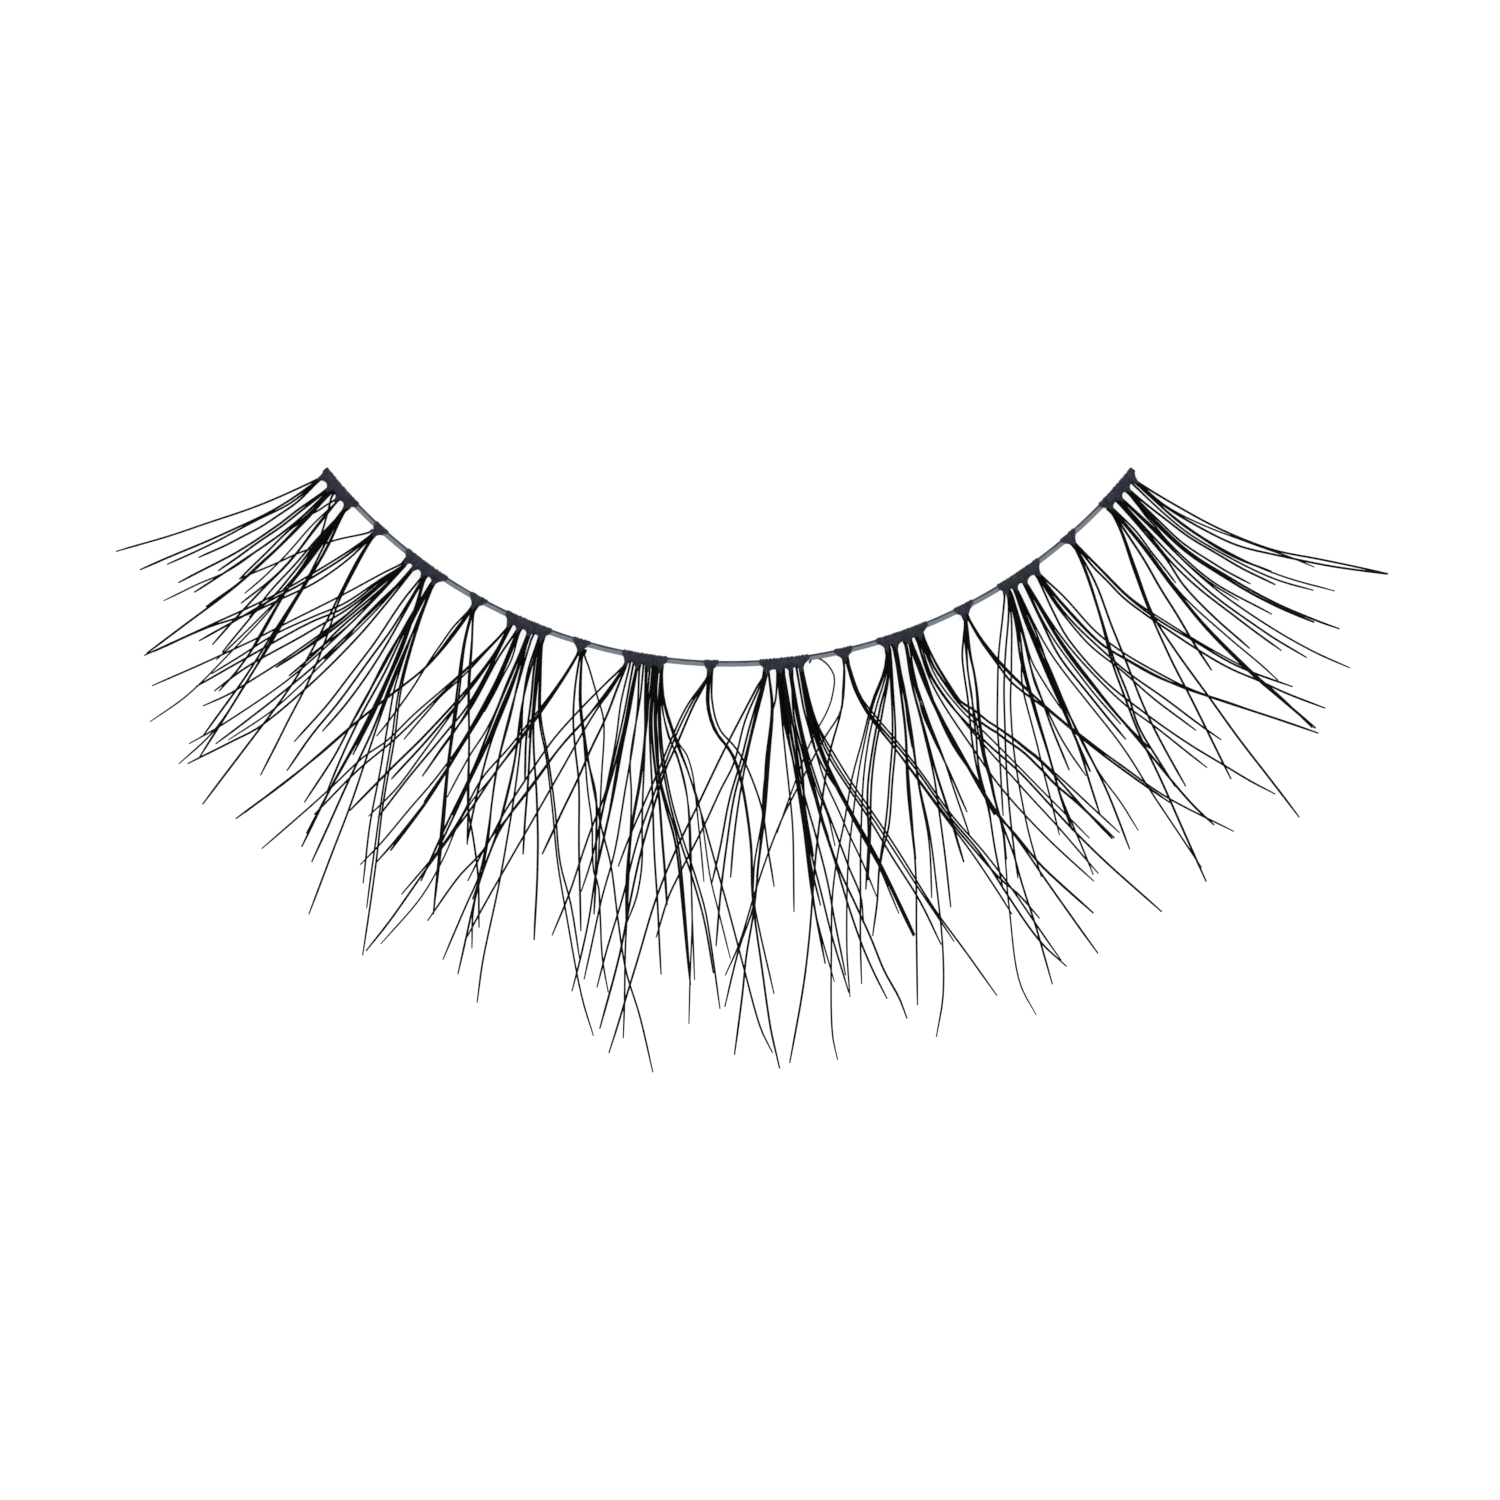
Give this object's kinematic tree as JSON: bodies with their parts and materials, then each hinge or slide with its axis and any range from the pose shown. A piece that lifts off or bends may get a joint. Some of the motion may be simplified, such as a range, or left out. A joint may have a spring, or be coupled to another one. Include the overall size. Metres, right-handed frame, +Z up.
{
  "type": "false eyelash strip",
  "caption": "Strip of black false eyelashes: a thin curved band with knotted clusters and tufts of curled lashes in turn.",
  "frame": {"origin": "middle of the strip's outline in plan, on the surface that it lies on", "axes": "+X along the strip towards the right end in the picture, +Y towards the band's hollow side, +Z up, the way the lashes curl"},
  "size_m": [0.0432, 0.0202, 0.0055],
  "materials": {
    "band": "smooth grey filament",
    "lash_fibre": "black tapered fibre, satin, with glue on the knots"
  },
  "bodies": {
    "root": {"band": "band", "hair_cluster_1": "lash_fibre", "hair_cluster_2": "lash_fibre", "hair_cluster_3": "lash_fibre", "hair_cluster_4": "lash_fibre", "hair_cluster_5": "lash_fibre", "hair_cluster_6": "lash_fibre", "hair_cluster_7": "lash_fibre", "hair_cluster_8": "lash_fibre", "hair_tuft_1": "lash_fibre", "hair_tuft_2": "lash_fibre", "hair_tuft_3": "lash_fibre", "hair_tuft_4": "lash_fibre", "hair_tuft_5": "lash_fibre", "hair_tuft_6": "lash_fibre", "hair_tuft_7": "lash_fibre"}
  },
  "joints": []
}
